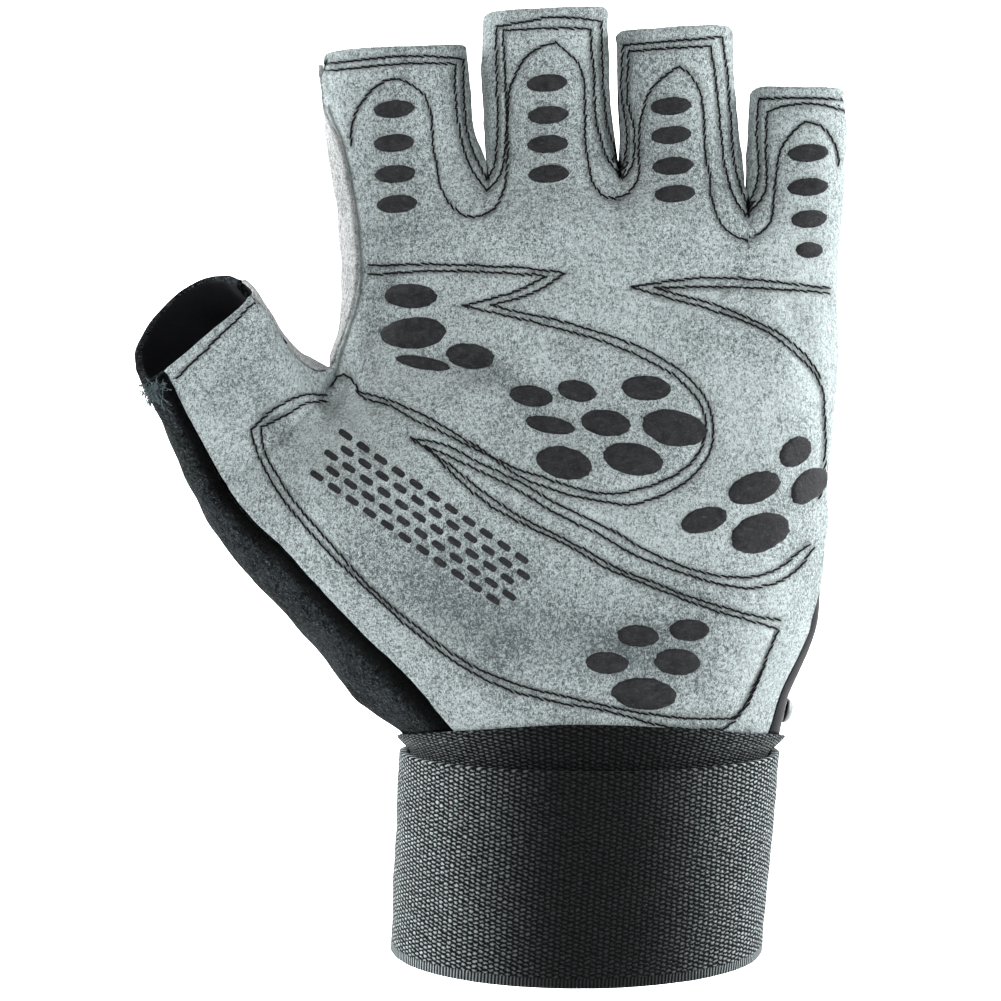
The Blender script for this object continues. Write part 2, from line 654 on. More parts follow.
def rubberPaint():
    # thick screen print with pin holes, pale specks of nap and fine scratches
    paint = Paint("rubberPrint", specularIorLevel=0.15)
    spot = paint.place()
    speck = paint.span(paint.noise(spot, 2100, 3, 0.7, 0.6), 0.52, 0.74)
    scratch = paint.span(paint.noise(paint.place((1, 1, 2.5), (0, 0.3, 0)), 800, 3, 0.6, 0.4), 0.50, 0.72)
    cloud = paint.noise(spot, 600, 3, 0.6)
    colour = paint.mix(paint.span(cloud, 0.3, 0.7), (0.007, 0.0075, 0.009), (0.030, 0.031, 0.034))
    colour = paint.mix(speck * 0.40 + scratch * 0.22, colour, (0.13, 0.135, 0.14))
    return paint.finish(colour, paint.span(cloud, 0.3, 0.7, 0.65, 0.9), speck + scratch * 0.5 + cloud, 0.9, 0.0005)


def threadPaint():
    # two plies twisted round each other
    paint = Paint("sewingThread", specularIorLevel=0.12)
    ply = paint.noise(paint.place(), 3800, 2, 0.6)
    colour = paint.mix(ply, (0.001, 0.001, 0.0013), (0.009, 0.009, 0.011))
    return paint.finish(colour, 0.8, ply, 0.4, 0.0001)


def tabPaint():
    # translucent grey rubber, darker towards its rim
    paint = Paint("tabRubber", transmissionWeight=0.12, specularIorLevel=0.5)
    cloud = paint.noise(paint.place(), 700, 3, 0.55)
    colour = paint.mix(cloud, (0.12, 0.135, 0.14), (0.26, 0.28, 0.29))
    colour = paint.mix(paint.own("shade"), colour, (0.02, 0.022, 0.025))
    return paint.finish(colour, 0.42, cloud, 0.25, 0.0001)


suede = suedePaint("brushedSuede", (0.065, 0.100, 0.107), (0.84, 0.965, 0.975))
paleSuede = suedePaint("paleSuede", (0.13, 0.15, 0.155), (0.93, 0.96, 0.96))
yarn = yarnPaint()
lining = liningPaint()
stretch = stretchPaint()
knit = knitPaint()
twill = twillPaint()
cuffWeave = elasticPaint("cuffWeave", ((0.0, 0), (0.5, 0), (0.97, 0), (0.99, 0)))
wrapWeave = elasticPaint("wrapWeave", ((0.034, 1), (0.042, 0), (0.97, 0), (0.99, 0)))
rubber = rubberPaint()
thread = threadPaint()
tabRubber = tabPaint()
print("finishes made")

# Sewn lines of the palm as (column, row) in the front view
sewnLines = (
    ((258, 299), (176, 379)),
    ((323, 64), (419, 56), (463, 59), (464, 100), (467, 133), (476, 159), (487, 180), (494, 167),
     (497, 143), (497, 83), (496, 27), (560, 17), (601, 21), (604, 100), (608, 129), (622, 170),
     (627, 149), (622, 93), (623, 45), (722, 37), (728, 80), (731, 124), (736, 174), (748, 208),
     (758, 179), (757, 133), (759, 99), (807, 98), (844, 100)),
    ((323, 71), (433, 63), (455, 64), (455, 93), (459, 129), (467, 159), (476, 176), (487, 191),
     (500, 176), (505, 149), (506, 100), (503, 31), (560, 28), (590, 29), (593, 66), (598, 129),
     (609, 162), (624, 179), (632, 166), (634, 129), (628, 100), (629, 51), (710, 46), (716, 83),
     (720, 124), (726, 171), (733, 196), (746, 216), (763, 196), (766, 149), (767, 113), (776, 108),
     (799, 104), (832, 107), (845, 111)),
    ((351, 146), (352, 124), (361, 103), (371, 91), (383, 82), (399, 79), (413, 86), (424, 95),
     (431, 113), (433, 141), (436, 162), (441, 187), (451, 205), (466, 216), (474, 217), (489, 212),
     (499, 202), (506, 179), (508, 149), (508, 116), (511, 86), (517, 71), (525, 58), (537, 49),
     (555, 42), (568, 53), (578, 63), (583, 78), (585, 108), (585, 133), (588, 162), (593, 184),
     (603, 196), (616, 199), (629, 192), (637, 182), (639, 166), (641, 119), (646, 100), (656, 83),
     (667, 74), (679, 66), (691, 76), (699, 91), (704, 113), (705, 149), (709, 174), (714, 207),
     (723, 226), (736, 237), (748, 240), (759, 234), (769, 224), (774, 191), (777, 166), (782, 146),
     (794, 131), (804, 122), (817, 124), (830, 136), (837, 153), (839, 166)),
    ((368, 266), (416, 264), (457, 265), (524, 268), (549, 271), (565, 273), (541, 289), (516, 299),
     (490, 305), (527, 314), (552, 319), (585, 328), (628, 342), (661, 358), (689, 378), (706, 399),
     (713, 425), (711, 449), (698, 471), (676, 488), (650, 500), (628, 505), (607, 502), (574, 496),
     (542, 486), (520, 477), (482, 450), (449, 430), (416, 412), (385, 399), (359, 392), (350, 377),
     (343, 374), (336, 377), (331, 387)),
    ((368, 275), (424, 271), (482, 272), (547, 276), (524, 288), (491, 299), (462, 306), (499, 314),
     (560, 329), (607, 343), (639, 356), (667, 371), (691, 391), (703, 410), (706, 430), (700, 451),
     (683, 470), (661, 482), (639, 489), (607, 494), (574, 488), (542, 477), (520, 470), (499, 460),
     (466, 445), (441, 432), (416, 421), (391, 406), (366, 399), (355, 391)),
    ((830, 293), (780, 289), (726, 287), (693, 287), (654, 288), (683, 296), (715, 305), (748, 318),
     (780, 334), (806, 356), (821, 378)),
    ((830, 288), (802, 285), (758, 280), (704, 278), (672, 281), (631, 287), (672, 299), (704, 308),
     (737, 319), (765, 331), (791, 350), (812, 371), (821, 386), (824, 408), (825, 434), (824, 471),
     (820, 499)),
    ((809, 543), (795, 556), (776, 570), (751, 577), (732, 577), (703, 573), (682, 566), (633, 543),
     (620, 535), (562, 506), (519, 482), (482, 464), (444, 445), (410, 438), (448, 464), (482, 491),
     (519, 516), (555, 534), (589, 552), (617, 568), (656, 583), (682, 594), (713, 604), (751, 615),
     (781, 620)),
    ((814, 547), (795, 572), (776, 583), (751, 588), (723, 585), (682, 573), (623, 549), (599, 534),
     (555, 513), (507, 484), (473, 468), (453, 458), (425, 446), (458, 479), (494, 508), (531, 528),
     (567, 545), (604, 567), (627, 577), (675, 596), (713, 610), (751, 621), (778, 629)),
    ((327, 394), (305, 395), (288, 401), (269, 413), (251, 430), (254, 443), (269, 477), (288, 506),
     (317, 540), (356, 579), (395, 615), (434, 647), (473, 673), (507, 689), (555, 702), (620, 714),
     (640, 720), (675, 728), (723, 730), (736, 719), (751, 692), (763, 667), (770, 650), (778, 630)),
    ((327, 401), (308, 403), (284, 416), (261, 428), (264, 450), (276, 474), (296, 504), (325, 537),
     (364, 581), (400, 613), (439, 644), (482, 671), (519, 685), (567, 697), (598, 704), (642, 713),
     (684, 718), (732, 719), (744, 709), (755, 688), (765, 665)),
)
# Soft dents and ridges of the worn suede: column, row, reach along and across, turn in
# degrees, height in metres
dents = (
    (386, 300, 12, 60, 8, -0.0009), (470, 372, 48, 16, -22, -0.0008), (410, 350, 70, 12, -14, 0.0005),
    (336, 390, 8, 26, 25, -0.0012), (395, 176, 45, 5, 0, -0.0004), (545, 131, 45, 4, 0, -0.0004),
    (665, 123, 45, 4, 0, -0.0004), (300, 440, 60, 9, 35, -0.0004), (560, 250, 90, 7, 4, -0.0004),
    (800, 330, 10, 60, -20, -0.0004), (690, 560, 70, 8, 18, -0.0004), (220, 420, 40, 6, 48, -0.0005),
    (235, 400, 34, 5, 40, 0.0004), (320, 560, 80, 12, 40, -0.0003), (600, 640, 120, 10, -12, -0.0004),
)

# Where the nap lies darker or lighter: column, row, reach along and across, turn, amount
napPatches = (
    (389, 234, 55, 15, 3, -0.24), (432, 330, 62, 11, -23, 0.20), (500, 374, 62, 13, -40, -0.26),
    (364, 290, 9, 62, 5, -0.26), (352, 402, 30, 12, -60, 0.20), (440, 590, 100, 36, -42, -0.18),
    (770, 352, 34, 46, 0, -0.16), (690, 592, 90, 18, -14, -0.16), (600, 320, 60, 9, -18, 0.12),
    (520, 205, 80, 16, 0, -0.10), (300, 470, 16, 50, 25, 0.14), (600, 690, 110, 10, -8, 0.12),
    (600, 640, 140, 42, -12, -0.44), (470, 640, 80, 26, -35, -0.16), (805, 330, 34, 120, 0, 0.24),
    (760, 655, 34, 50, 0, 0.40), (274, 426, 20, 12, -50, -0.45), (395, 160, 46, 75, 0, -0.16), (545, 130, 42, 70, 0, -0.10), (668, 150, 42, 60, 0, -0.10),
    (470, 372, 48, 14, -22, -0.22), (345, 440, 46, 12, 40, 0.14), (822, 210, 20, 80, 0, 0.20),
    (235, 375, 60, 34, 45, -0.26), (392, 300, 16, 60, 8, -0.20), (430, 240, 60, 14, 0, 0.08),
    (590, 250, 90, 26, 0, 0.04), (740, 400, 40, 70, 10, 0.10), (330, 400, 10, 20, 25, -0.25),
    (650, 540, 90, 9, -26, 0.14), (700, 300, 60, 9, 0, 0.10), (460, 180, 10, 34, 0, -0.10),
)
palmLook = {
    "wall": 0.0014,
    "bead": 0.0005,
    "puff": 0.00062,  # how high the suede stands between two sewn lines
    "puffReach": 0.0021,
    "groove": 0.00030,
    "grooveReach": 0.00055,
    "ripple": 0.00020,
    "webReach": 0.0060,
    "relaxRounds": 40,
    "sideShade": 0.05,
}


def cornersOf(line):
    # the places where a line turns by more than 38 degrees, where the needle turned too
    legs = np.diff(np.array(line, float), axis=0)
    way = np.arctan2(legs[:, 1], legs[:, 0])
    turn = np.abs((np.diff(way) + np.pi) % (2 * np.pi) - np.pi)
    inner = [k + 1 for k, value in enumerate(turn) if value > math.radians(38)]
    return [0] + inner + [len(line) - 1]


def smoothLine(line, spacing):
    # a smooth run between each two corners, joined up
    ends = cornersOf(line)
    runs = [smoothRun(line[first:last + 1], spacing) for first, last in zip(ends[:-1], ends[1:])]
    return np.concatenate([runs[0]] + [run[1:] for run in runs[1:]])


def smoothRun(line, spacing):
    # a cubic through the points by the length along them, cut into even steps
    points = np.array(line, float)
    legs = np.linalg.norm(np.diff(points, axis=0), axis=1)
    along = np.concatenate([[0], np.cumsum(legs)])
    fine = np.linspace(0, along[-1], max(int(along[-1] / 1.5), 4))
    tables = [tuple(zip(along, points[:, k])) for k in (0, 1)]
    curve = np.stack([smoothRead(table, fine) for table in tables], axis=-1)
    run = np.concatenate([[0], np.cumsum(np.linalg.norm(np.diff(curve, axis=0), axis=1))])
    steps = max(int(round(run[-1] / spacing)), 1)
    even = np.linspace(0, run[-1], steps + 1)
    return np.stack([np.interp(even, run, curve[:, k]) for k in (0, 1)], axis=-1)


sewnPaths = [smoothLine(line, 5.0) for line in sewnLines]


def seamDistance(cols, rows):
    # the distance from each place to the nearest sewn line, in metres
    near = np.concatenate([path[:-1] for path in sewnPaths])
    far = np.concatenate([path[1:] for path in sewnPaths])
    leg = far - near
    length = np.maximum((leg**2).sum(axis=1), 1e-9)
    best = np.empty(len(cols))
    for first in range(0, len(cols), 8000):
        spot = np.stack([cols[first:first + 8000], rows[first:first + 8000]], axis=-1)[:, None]
        along = np.clip(((spot - near) * leg).sum(axis=2) / length, 0, 1)[..., None]
        best[first:first + 8000] = np.linalg.norm(spot - near - along * leg, axis=2).min(axis=1)
    return best * chart["step"]


def ripples(points, scale, seed):
    # a sum of sines in eight turned directions
    source = np.random.default_rng(seed)
    total = np.zeros(len(points))
    for _ in range(8):
        way = source.normal(size=3)
        way *= 2 * np.pi / (scale * source.uniform(0.7, 1.6)) / np.linalg.norm(way)
        total += np.sin(points @ way + source.uniform(0, 6.28))
    return total / 4


def palmRelief(points):
    # puffed between the sewn lines, pulled in along them, with dents and small ripples
    cols, rows = onChart(points)
    away = seamDistance(cols, rows)
    lift = palmLook["puff"] * (1 - np.exp(-away / palmLook["puffReach"])) - 0.5 * palmLook["puff"]
    lift -= palmLook["groove"] * np.exp(-(away / palmLook["grooveReach"]) ** 2)
    for col, row, along, aside, turn, height in dents:
        turn = math.radians(turn)
        x, y = cols - col, rows - row
        run = x * math.cos(turn) + y * math.sin(turn)
        off = y * math.cos(turn) - x * math.sin(turn)
        lift += 1.5 * height * np.exp(-((run / along) ** 2) - (off / aside) ** 2)
    lift += palmLook["ripple"] * ripples(points, 0.011, 3) + 0.6 * palmLook["ripple"] * ripples(points, 0.0045, 4)
    shade = 0.55 * np.exp(-(away / 0.00045) ** 2)
    besides = (cols - smoothRead(indexSeam, rows)) * chart["step"]
    shade = np.maximum(shade, 0.9 * np.exp(-((besides / 0.00038) ** 2)) * (rows > 105) * (rows < form["webRow"]))
    nap = np.zeros(len(points))
    for col, row, along, aside, turn, amount in napPatches:
        turn = math.radians(turn)
        x, y = cols - col, rows - row
        run = x * math.cos(turn) - y * math.sin(turn)
        off = y * math.cos(turn) + x * math.sin(turn)
        nap += amount * np.exp(-((run / along) ** 2) - (off / aside) ** 2)
    return lift, shade, nap


fineRows = np.linspace(735, 162, int((735 - 162) / grids["palmStep"]) + 1)
fineRows[np.abs(fineRows - form["webRow"]).argmin()] = form["webRow"]
fronts = [fingerGrid(k, 0, fineRows, grids["palmTipRows"], grids["palmColumns"]) for k in range(4)]
places, sharedRows = thumbPlaces(fineRows, grids["thumbTipRows"])
suedeStart = smoothRead(thumbRows, places, 5)
frontEnd = np.where(np.isnan(sharedRows), form["frontEnd"], 1.0)
t = np.linspace(0, 1, grids["thumbColumns"] + 1)[None, :]
thumbFront = thumbGrid(places, sharedRows, suedeStart + (frontEnd - suedeStart) * t, 0)
thumbFront = meet(thumbFront, fronts[0][:, 0], sharedRows)
points, faces, tops = weld([thumbFront] + fronts)
webSpot = (across(330), -0.011, up(386))
cols, rows = onChart(points)
weight = np.exp(-(np.linalg.norm(points - webSpot, axis=1) / palmLook["webReach"]) ** 2)
for gap, crotch in zip(fingerGaps, form["crotchRow"]):
    off = np.abs(cols - smoothRead(gap, rows, 1))
    weight = np.maximum(weight, np.clip(1.3 - off / 34, 0, 1) * np.clip((rows - crotch - 4) / 14, 0, 1) * (rows < 620))
points = relax(points, faces, weight, palmLook["relaxRounds"])
lift, shade, nap = palmRelief(points)
normals = pointNormals(points, faces)
aside = ease((np.abs(normals[:, 0]) - 0.35) / 0.5) * (rows < 215) * (cols > 400) * (cols < 790)
shade = np.maximum(shade, palmLook["sideShade"] * aside)
points = points + normals * lift[:, None]
palmTree = BVHTree.FromPolygons(points.tolist(), faces.tolist())
mesh = clothMesh("palmSuede", points, faces, tops, palmLook["wall"], palmLook["bead"])


def keepShade(mesh, shade, name="shade"):
    # a value for each outer point, and none on the inside
    values = np.zeros(len(mesh.vertices), np.float32)
    values[:len(shade)] = shade
    attribute = mesh.attributes.new(name, "FLOAT", "POINT")
    attribute.data.foreach_set("value", values)


keepShade(mesh, shade)
keepShade(mesh, nap, "nap")
palmSuede = dress("palmSuede", mesh, [suede, lining], ["palm_panel"])
print("palm done", len(mesh.polygons))

# The stretch back, with two long seams that shape it
backLook = {"wall": 0.0012, "bead": 0.0004, "ripple": 0.00022, "dart": 0.0005}
coarseRows = np.linspace(735, 162, int((735 - 162) / grids["backStep"]) + 1)
coarseRows[np.abs(coarseRows - form["webRow"]).argmin()] = form["webRow"]
backs = [fingerGrid(k, 1, coarseRows, grids["backTipRows"], grids["backColumns"]) for k in range(4)]
backs[0][:np.count_nonzero(coarseRows >= form["webRow"]), 0, 0] += form["seamGap"]
points, faces, tops = weld(backs, flip=True)
normals = pointNormals(points, faces)
clear = np.clip((points[:, 1] - 0.002) / 0.004, 0, 1)
points = points + normals * (backLook["ripple"] * clear * ripples(points, 0.013, 7))[:, None]
backTree = BVHTree.FromPolygons(points.tolist(), faces.tolist())
mesh = clothMesh("backStretch", points, faces, tops, backLook["wall"], backLook["bead"])
dress("backStretch", mesh, [stretch, lining], ["back_panel"])



def tubes(lines, radius, sides):
    # closed tubes along lines of points: a ring across each point and a cap at each end
    way = np.gradient(lines, axis=1)
    side = np.cross(way, (0.3, -1.0, 0.2))
    side /= np.linalg.norm(side, axis=2, keepdims=True)
    over = np.cross(way, side)
    over /= np.linalg.norm(over, axis=2, keepdims=True)
    angle = 2 * np.pi * np.arange(sides) / sides
    ring = np.cos(angle)[:, None] * side[:, :, None] + np.sin(angle)[:, None] * over[:, :, None]
    points = lines[:, :, None] + radius * ring
    index = np.arange(points.size // 3).reshape(len(lines), -1, sides)
    around = np.roll(index, -1, axis=2)
    square = np.stack([index[:, :-1], around[:, :-1], around[:, 1:], index[:, 1:]], axis=-1).reshape(-1, 4)
    return points.reshape(-1, 3), square.tolist() + index[:, 0, ::-1].tolist() + index[:, -1].tolist()


# The knit gusset round the outside and the back of the thumb
knitLook = {"wall": 0.0016, "bead": 0.0005, "gap": 2.2 * form["seamGap"] / 0.03, "ripple": 0.00035}
half = grids["knitColumns"] // 3
fore = 1 - np.sin(0.5 * np.pi * np.arange(half) / half)[None, :]
foreGrid = thumbGrid(places, sharedRows, (suedeStart - knitLook["gap"]) * fore, 0)
turn = np.pi * np.arange(1, grids["knitColumns"] - half + 1)[None, :] / (grids["knitColumns"] - half)
backEnd = np.where(np.isnan(sharedRows), form["backEnd"], 1.0)
aftGrid = thumbGrid(places, sharedRows, backEnd * (0.5 - 0.5 * np.cos(turn)), 1)
fineBack = fingerGrid(0, 1, fineRows, 2, grids["backColumns"])
aftGrid = meet(aftGrid, fineBack[:, 0] - (form["seamGap"], 0, 0), sharedRows)
edgeGrid = 0.5 * (thumbGrid(places, sharedRows, 0 * places, 0) + thumbGrid(places, sharedRows, 0 * places, 1))
knitGrid = np.concatenate([foreGrid, edgeGrid, aftGrid], axis=1)
points, faces, tops = weld([knitGrid], flip=True)
normals = pointNormals(points, faces)
firstColumn = knitGrid[:, 0]
apart = np.min(np.linalg.norm(points[:, None] - firstColumn[None, ::2], axis=2), axis=1)
lift = knitLook["ripple"] * ripples(points, 0.009, 9) * np.clip(apart / 0.004, 0, 1)
points = points + normals * lift[:, None]
mesh = clothMesh("thumbKnit", points, faces, tops, knitLook["wall"], knitLook["bead"])
rim = min(knitGrid[0], knitGrid[-1], key=lambda line: line[:, 0].mean())
rimApart = np.min(np.linalg.norm(points[:, None] - rim[None, ::2], axis=2), axis=1)
level = np.clip((onChart(points)[1] - 420) / 280, 0, 1)
shade = np.maximum(0.97 * np.exp(-(apart / (0.0020 + 0.0024 * level)) ** 4), 0.9 * np.exp(-(rimApart / 0.0017) ** 2))
keepShade(mesh, shade)
dress("thumbKnit", mesh, [knit, lining], ["thumb_gusset"])
knitTree = BVHTree.FromPolygons(points.tolist(), faces.tolist())
seam = aftGrid[::-1, -1] if aftGrid[0, -1, 2] > aftGrid[-1, -1, 2] else aftGrid[:, -1]
seam = seam[~np.isnan(sharedRows[:, 0])[::-1 if aftGrid[0, -1, 2] > aftGrid[-1, -1, 2] else 1]]
steps = np.linspace(0, len(seam) - 1, 160)
line = np.stack([np.interp(steps, np.arange(len(seam)), seam[:, k]) for k in range(3)], axis=-1)
for _ in range(12):
    line[1:-1] = 0.5 * line[1:-1] + 0.25 * (line[:-2] + line[2:])
line[:, 1] += 0.0003
piping = makeMesh("backPiping", *tubes(line[None], 0.0009, 10))
dress("backPiping", piping, [twill])
print("back and gusset done")

# The pale strip down the index finger's side, through the web and up the thumb's side
stripLook = {"wall": 0.0009, "columns": 16, "bulge": 0.0008, "lip": 0.0012, "cord": 0.00045}


def arch(fore, middle, aft, count):
    # a quadratic curve from one edge over the middle to the other edge
    share = np.linspace(0, 1, count + 1)[None, :, None]
    handle = 2 * middle - 0.5 * (fore + aft)
    return (1 - share) ** 2 * fore[:, None] + 2 * share * (1 - share) * handle[:, None] + share**2 * aft[:, None]


def sideStrip():
    gap = form["stripGap"]
    upper = np.count_nonzero(fineRows > form["webRow"])
    back = fingerGrid(0, 1, fineRows, grids["palmTipRows"], grids["backColumns"])
    fore, aft = fronts[0][upper:, 0][::-1].copy(), back[upper:, 0][::-1].copy()
    middle = 0.5 * (fore + aft)
    outer = across(smoothRead(indexOuter, chart["mouthRow"] - middle[:, 2] / chart["step"]))
    middle[:, 0] = np.minimum(outer, middle[:, 0] - stripLook["bulge"])
    fore += (-gap, 1.5 * gap, 0)
    aft += (-gap, -2 * gap, 0)
    finger = arch(fore, middle, aft, stripLook["columns"])
    near = np.exp(-np.arange(len(finger))[::-1] / 3.0)
    finger[:, :, 2] += stripLook["lip"] * near[:, None]
    beyond = np.isnan(sharedRows[:, 0])
    outs, blank = places[beyond], sharedRows[beyond]
    fore = thumbGrid(outs, blank, np.full_like(outs, form["frontEnd"]), 0)[:, 0]
    aft = thumbGrid(outs, blank, np.full_like(outs, form["backEnd"]), 1)[:, 0]
    ones = np.ones_like(outs)
    middle = 0.5 * (thumbGrid(outs, blank, ones, 0) + thumbGrid(outs, blank, ones, 1))[:, 0]
    out = middle - thumbGrid(outs, blank, 0.8 * ones, 0)[:, 0]
    out *= gap / np.linalg.norm(out, axis=1, keepdims=True)
    inward = (aft - fore) / np.linalg.norm(aft - fore, axis=1, keepdims=True) * 1.5 * gap
    thumb = arch(fore + out + inward, middle + out, aft + out - inward, stripLook["columns"])
    return np.concatenate([finger, thumb[4:]])


points, faces, tops = weld([sideStrip()])
normals = pointNormals(points, faces)
lift = 0.00012 * ripples(points, 0.006, 12)
points = points + normals * lift[:, None]
mesh = clothMesh("indexSideSuede", points, faces, tops, stripLook["wall"], 0.0003)
keepShade(mesh, np.zeros(1))
keepShade(mesh, np.zeros(1), "nap")
dress("indexSideSuede", mesh, [paleSuede, lining], ["index_side_strip"])

# The black gusset beside the heel of the hand
ulnarRows = np.linspace(572, 735, 44)[:, None]
spare = 1.3 * form["seamGap"] / chart["step"]
left, right = smoothRead(suedeRight, ulnarRows), smoothRead(handRight, ulnarRows)
frontX = across(left + spare + (right - left - spare) * np.sin(0.5 * np.pi * np.linspace(0, 1, 12)[None, :-1]))
backLeft = smoothRead(fingerGaps[2], ulnarRows, 2)
backLeft = backLeft + (right - backLeft) * (1 - backShare(ulnarRows)) + spare
backX = across(right + (backLeft - right) * (1 - np.cos(0.5 * np.pi * np.linspace(0, 1, 12)[None, :])))
level = up(ulnarRows)
front = np.stack([frontX, -palmDepth(frontX, level + 0 * frontX, 0), level + 0 * frontX], axis=-1)
behind = np.stack([backX, palmDepth(backX, level + 0 * backX, 1), level + 0 * backX], axis=-1)
ulnar = np.concatenate([front, behind], axis=1)
ulnar[:, :, 2] += hemRise(ulnar[:, :, 1], ulnarRows)
points, faces, tops = weld([ulnar], flip=True)
dress("ulnarTwill", clothMesh("ulnarTwill", points, faces, tops, 0.0012, 0.0), [twill, lining],
      ["ulnar_gusset"])
print("side strips done")

# The elastic cuff and the wrap
band = {
    "wristWidth": 0.0685, "wristDepth": 0.0485, "cuffWall": 0.0015, "wrapWall": 0.0018,
    "wrapClear": 0.0005, "wrapLap": 0.036, "lapSlope": 0.015, "patchWall": 0.0014,
    "patchHeight": 0.034, "patchSpare": 0.0025, "flare": 0.075, "proud": 0.0010, "crown": 0.0017,
    "topRow": 750, "wrapDip": 0.0016, "mouthDip": 0.0032, "taper": 0.03, "shift": 14,
    "start": math.radians(60), "cuffSteps": 900, "wrapSteps": 900,
}


def ringPoint(angle, row, spread):
    # an oval round the wrist, a little flattened, that narrows towards the mouth
    level = np.clip((row - form["hemRow"]) / (chart["mouthRow"] - form["hemRow"]), 0, 1)
    halfX = 0.5 * band["wristWidth"] * (1 - band["taper"] * level) + spread
    halfY = 0.5 * band["wristDepth"] + spread
    centre = across(chart["mouthCol"] + band["shift"] * (1 - level))
    x = centre + halfX * np.cos(angle)
    return x, halfY * np.sign(np.sin(angle)) * np.abs(np.sin(angle)) ** 0.92


def wrapDrop(angle, row):
    level = np.clip((chart["mouthRow"] - row) / (chart["mouthRow"] - band["topRow"]), 0, 1)
    return (band["mouthDip"] + (band["wrapDip"] - band["mouthDip"]) * level) * np.maximum(-np.sin(angle), 0)


def bandMesh(name, section, uv, closed):
    # a closed wall section carried along the band: rows are the section's points, which join
    # up, and columns the steps along the band, which join up or are capped
    rows, columns = section.shape[:2]
    index = np.arange(rows * columns).reshape(rows, columns)
    index = np.concatenate([index, index[:1]], axis=0)
    if closed:
        index = np.concatenate([index, index[:, :1]], axis=1)
    square = np.stack([index[:-1, :-1], index[:-1, 1:], index[1:, 1:], index[1:, :-1]], axis=-1)
    faces = square.reshape(-1, 4).tolist()
    if not closed:
        faces += [index[:-1, 0].tolist(), index[:-1, -1].tolist()[::-1]]
    mesh = makeMesh(name, section.reshape(-1, 3), faces)
    layer = mesh.uv_layers.new(name="weave")
    corner = np.stack([uv[:-1, :-1], uv[:-1, 1:], uv[1:, 1:], uv[1:, :-1]], axis=2).reshape(-1, 2)
    values = np.zeros((len(mesh.loops), 2), np.float32)
    values[:len(corner)] = corner
    layer.data.foreach_set("uv", values.ravel())
    return mesh


def wallSection(shares, edge):
    # the wall's section as (share of the height, share of the wall): up the outer face,
    # over a rounded edge and down the inner face
    outer = np.stack([shares, np.ones_like(shares)], axis=-1)
    turn = np.linspace(0.5 * np.pi, -0.5 * np.pi, 6)[1:-1]
    top = np.stack([1 + edge * np.cos(turn), 0.5 + 0.5 * np.sin(turn)], axis=-1)
    inner = np.stack([np.linspace(1, 0, 7), np.zeros(7)], axis=-1)
    low = np.stack([-edge * np.cos(turn), 0.5 - 0.5 * np.sin(turn)], axis=-1)
    return np.concatenate([outer, top, inner, low])


def bandUv(section, shares, closed):
    # the length along the band and the height up its front, in millimetres
    lengths = np.linalg.norm(np.diff(section[0], axis=0), axis=1)
    if closed:
        lengths = np.append(lengths, np.linalg.norm(section[0, -1] - section[0, 0]))
    along = np.concatenate([[0.0], np.cumsum(lengths)])
    outer = shares[:, 1] > 0.999
    front = section[outer, 3 * section.shape[1] // 4]
    climb = np.concatenate([[0.0], np.cumsum(np.linalg.norm(np.diff(front, axis=0), axis=1))])
    high = np.interp(np.append(shares[:, 0], shares[0, 0]), shares[outer, 0], climb)
    return 1000 * np.stack(np.broadcast_arrays(along[None, :], high[:, None]), axis=-1)


def bandShade(section):
    # the middle of the front is nearly black and the flanks are worn pale
    cols, rows = onChart(section.reshape(-1, 3))
    front = 0.97 * np.exp(-(np.abs(cols - 600) / 130) ** 4)
    return front + (0.55 - front) * ease((section[..., 1].ravel() + 0.006) / 0.018)


def cuffPoint(angle, share, inside):
    # the glove's own section at the top, soon an oval below it
    row = form["hemRow"] + (chart["mouthRow"] - form["hemRow"]) * share
    ovalX, ovalY = ringPoint(angle, row, band["cuffWall"])
    left, right = across(smoothRead(palmLeft, 735.0)), across(smoothRead(handRight, 735.0))
    x = 0.5 * (left + right) + 0.5 * (right - left) * np.cos(angle)
    z = np.full_like(x, up(form["hemRow"]))
    depth = np.where(np.sin(angle) < 0, -palmDepth(x, z, 0), palmDepth(x, z, 1))
    topX, topY = x + band["proud"] * np.cos(angle), depth + band["proud"] * np.sin(angle)
    blend = ease(share / band["flare"])
    x, y = topX + (ovalX - topX) * blend, topY + (ovalY - topY) * blend
    fade = np.clip(share / band["flare"], 0, 1)
    crown = band["crown"] * np.exp(-(((x - across(580)) / 0.024) ** 2)) * (y < 0)
    rise = (hemRise(y, form["hemRow"]) + crown) * (1 - fade)
    z = up(row) - form["seamGap"] * (1 - share) + rise - wrapDrop(angle, row) * fade
    alongX, alongY = np.roll(x, -1) - np.roll(x, 1), np.roll(y, -1) - np.roll(y, 1)
    size = np.hypot(alongX, alongY)
    point = np.stack([x, y, z], axis=-1)
    return point - inside[..., None] * np.stack([alongY / size, -alongX / size, 0 * size], axis=-1)


def cuffMesh():
    angle = 2 * np.pi * np.arange(band["cuffSteps"]) / band["cuffSteps"]
    # the section's share of 0 is the mouth and 1 the top edge
    shares = wallSection(np.concatenate([np.linspace(0, 0.86, 6), np.linspace(0.88, 1, 14)]), 0.004)
    lines = []
    for share, wall in shares:
        inside = np.full_like(angle, band["cuffWall"] * (1 - wall))
        if wall > 0.2:
            loops = np.abs(np.sin(angle * 160))
            edge = math.exp(-(((1 - share) / 0.013) ** 2))
            inside = inside - edge * (0.00005 + 0.00016 * loops)
        lines.append(cuffPoint(angle, np.clip(1 - share, -0.01, 1.01), inside))
    section = np.array(lines)
    mesh = bandMesh("cuffElastic", section, bandUv(section, shares, True), True)
    keepShade(mesh, 0.5 + 0.48 * bandShade(section))
    return mesh


